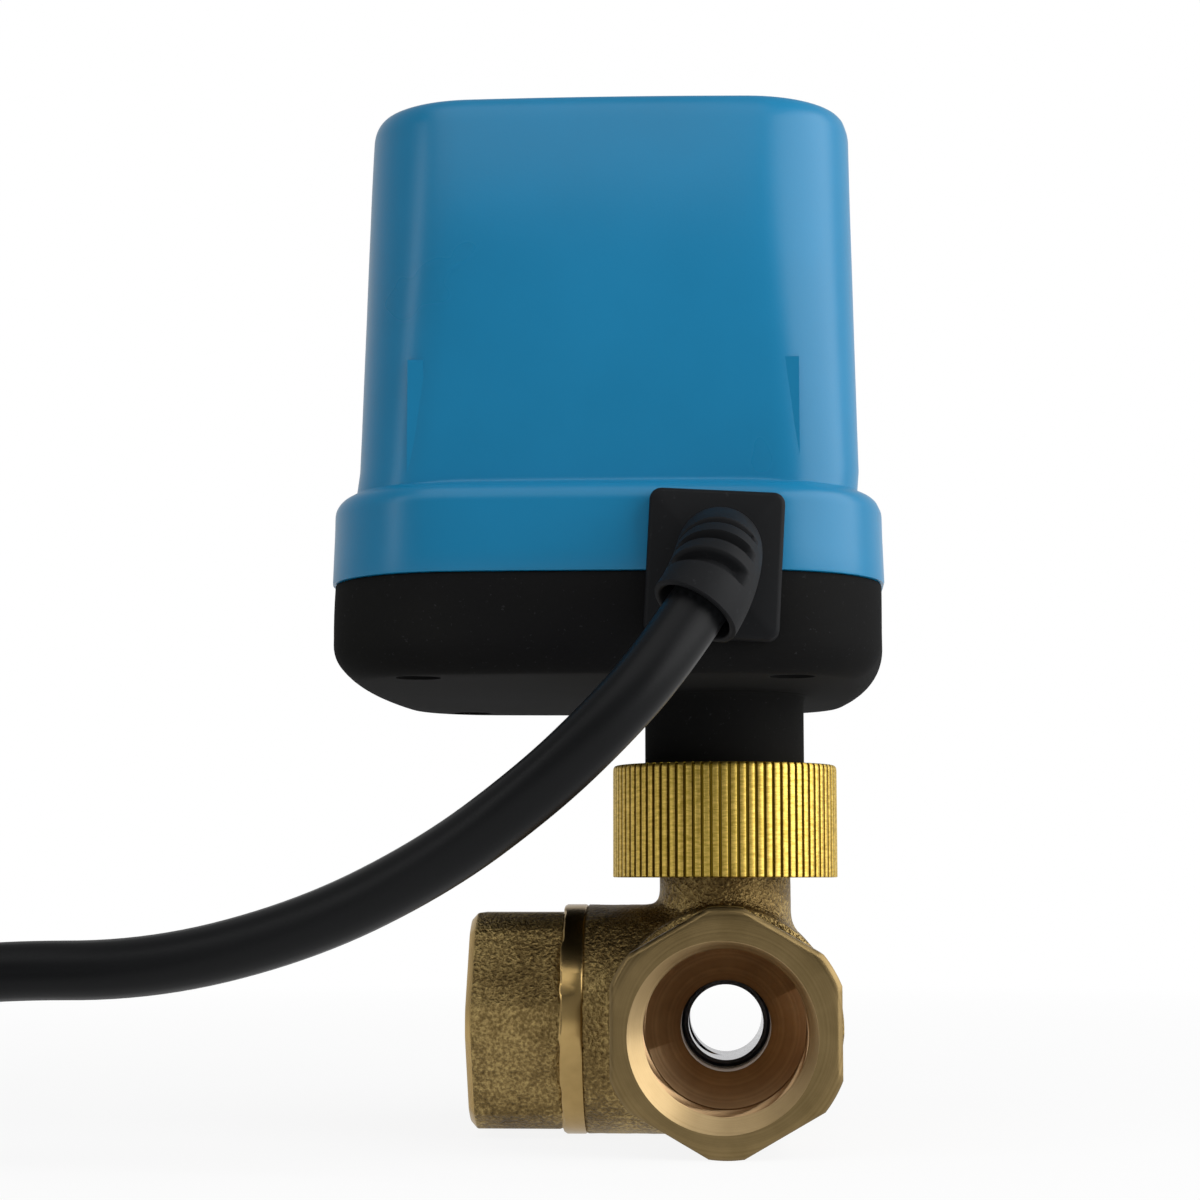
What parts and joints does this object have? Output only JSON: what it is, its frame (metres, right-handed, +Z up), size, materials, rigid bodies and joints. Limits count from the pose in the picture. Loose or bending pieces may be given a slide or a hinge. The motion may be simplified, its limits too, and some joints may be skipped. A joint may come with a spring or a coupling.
{
  "type": "three-way motorized valve",
  "caption": "Brass ball valve with ports to the front, rear and side, turned by a boxed electric actuator held on by a knurled union nut, with a ribbed cable gland and a coiled lead.",
  "frame": {"origin": "on the floor that the valve body stands on, under the middle of the actuator's plan", "axes": "+Z up along the valve's stem, -Y out of the front port, -X out of the side port"},
  "size_m": [0.1973, 0.1638, 0.1212],
  "materials": {
    "cast_brass": "sand-cast",
    "turned_brass": "machined",
    "nut_brass": "machined",
    "ball_chrome": "polished",
    "seat_ptfe": "satin",
    "seal_rubber": "matte",
    "cover_plastic": "satin",
    "base_plastic": "matte",
    "gland_rubber": "matte",
    "cable_pvc": "satin",
    "core_pvc": "satin",
    "tie_plastic": "satin",
    "screw_steel": "plated",
    "plate_steel": "plated",
    "motor_steel": "plated",
    "gear_plastic": "moulded",
    "switch_plastic": "moulded",
    "button_plastic": "moulded",
    "board_laminate": "coated",
    "relay_plastic": "moulded",
    "terminal_plastic": "moulded"
  },
  "bodies": {
    "valve": {"valve_body": "cast_brass", "end_connector": "turned_brass", "connector_seal": "seal_rubber", "seat_front": "seat_ptfe", "seat_rear": "seat_ptfe", "seat_side": "seat_ptfe"},
    "ball_and_stem": {"ball": "ball_chrome", "stem": "turned_brass", "stem_o_rings": "seal_rubber"},
    "actuator": {"base": "base_plastic", "cover": "cover_plastic", "cover_seal": "seal_rubber", "cover_screws": "screw_steel", "nut_retaining_ring": "screw_steel", "lower_plate": "plate_steel", "upper_plate": "plate_steel", "pillars": "plate_steel", "board_standoffs": "turned_brass", "idler_pin": "plate_steel", "motor": "motor_steel", "limit_switches": "switch_plastic", "switch_screws": "screw_steel", "circuit_board": "board_laminate", "relay": "relay_plastic", "terminal_block": "terminal_plastic", "capacitors": "switch_plastic", "cable_gland": "gland_rubber", "cable": "cable_pvc", "cable_coil": "cable_pvc", "coil_ties": "tie_plastic", "cable_cores": "core_pvc"},
    "nut": {"union_nut": "nut_brass"},
    "output": {"output_shaft": "plate_steel", "output_gear": "gear_plastic", "limit_cam": "gear_plastic"},
    "idler": {"idler_gear": "gear_plastic"},
    "motor_shaft": {"motor_pinion": "gear_plastic"},
    "side_button": {"side_plunger": "button_plastic"},
    "front_button": {"front_plunger": "button_plastic"}
  },
  "joints": [
    {"name": "ball_turn", "type": "hinge", "parent": "valve", "child": "ball_and_stem", "pos_m": [0.0135, 0, 0.014], "axis": [0, 0, 1], "range_deg": [0, 90]},
    {"name": "actuator_lift", "type": "slide", "parent": "valve", "child": "actuator", "axis": [0, 0, 1], "range_m": [0, 0.025]},
    {"name": "nut_turn", "type": "hinge", "parent": "actuator", "child": "nut", "pos_m": [0.0135, 0, 0.0382], "axis": [0, 0, 1], "continuous": true},
    {"name": "output_turn", "type": "hinge", "parent": "actuator", "child": "output", "pos_m": [0.0135, 0, 0.06], "axis": [0, 0, 1], "range_deg": [0, 90]},
    {"name": "idler_turn", "type": "hinge", "parent": "actuator", "child": "idler", "pos_m": [-0.00105, 0.0084, 0.074], "axis": [0, 0, 1], "range_deg": [-270, 0]},
    {"name": "motor_turn", "type": "hinge", "parent": "actuator", "child": "motor_shaft", "pos_m": [-0.00515, -0.00288, 0.078], "axis": [0, 0, 1], "range_deg": [0, 810]},
    {"name": "side_button_travel", "type": "slide", "parent": "actuator", "child": "side_button", "axis": [-1, 0, 0], "range_m": [0, 0.0006], "stiffness_N_per_m": 300},
    {"name": "front_button_travel", "type": "slide", "parent": "actuator", "child": "front_button", "axis": [0, -1, 0], "range_m": [0, 0.0006], "stiffness_N_per_m": 300}
  ],
  "couplings": [
    {"joint": "output_turn", "follows": "ball_turn", "ratio": 1},
    {"joint": "idler_turn", "follows": "ball_turn", "ratio": -3},
    {"joint": "motor_turn", "follows": "ball_turn", "ratio": 9}
  ]
}
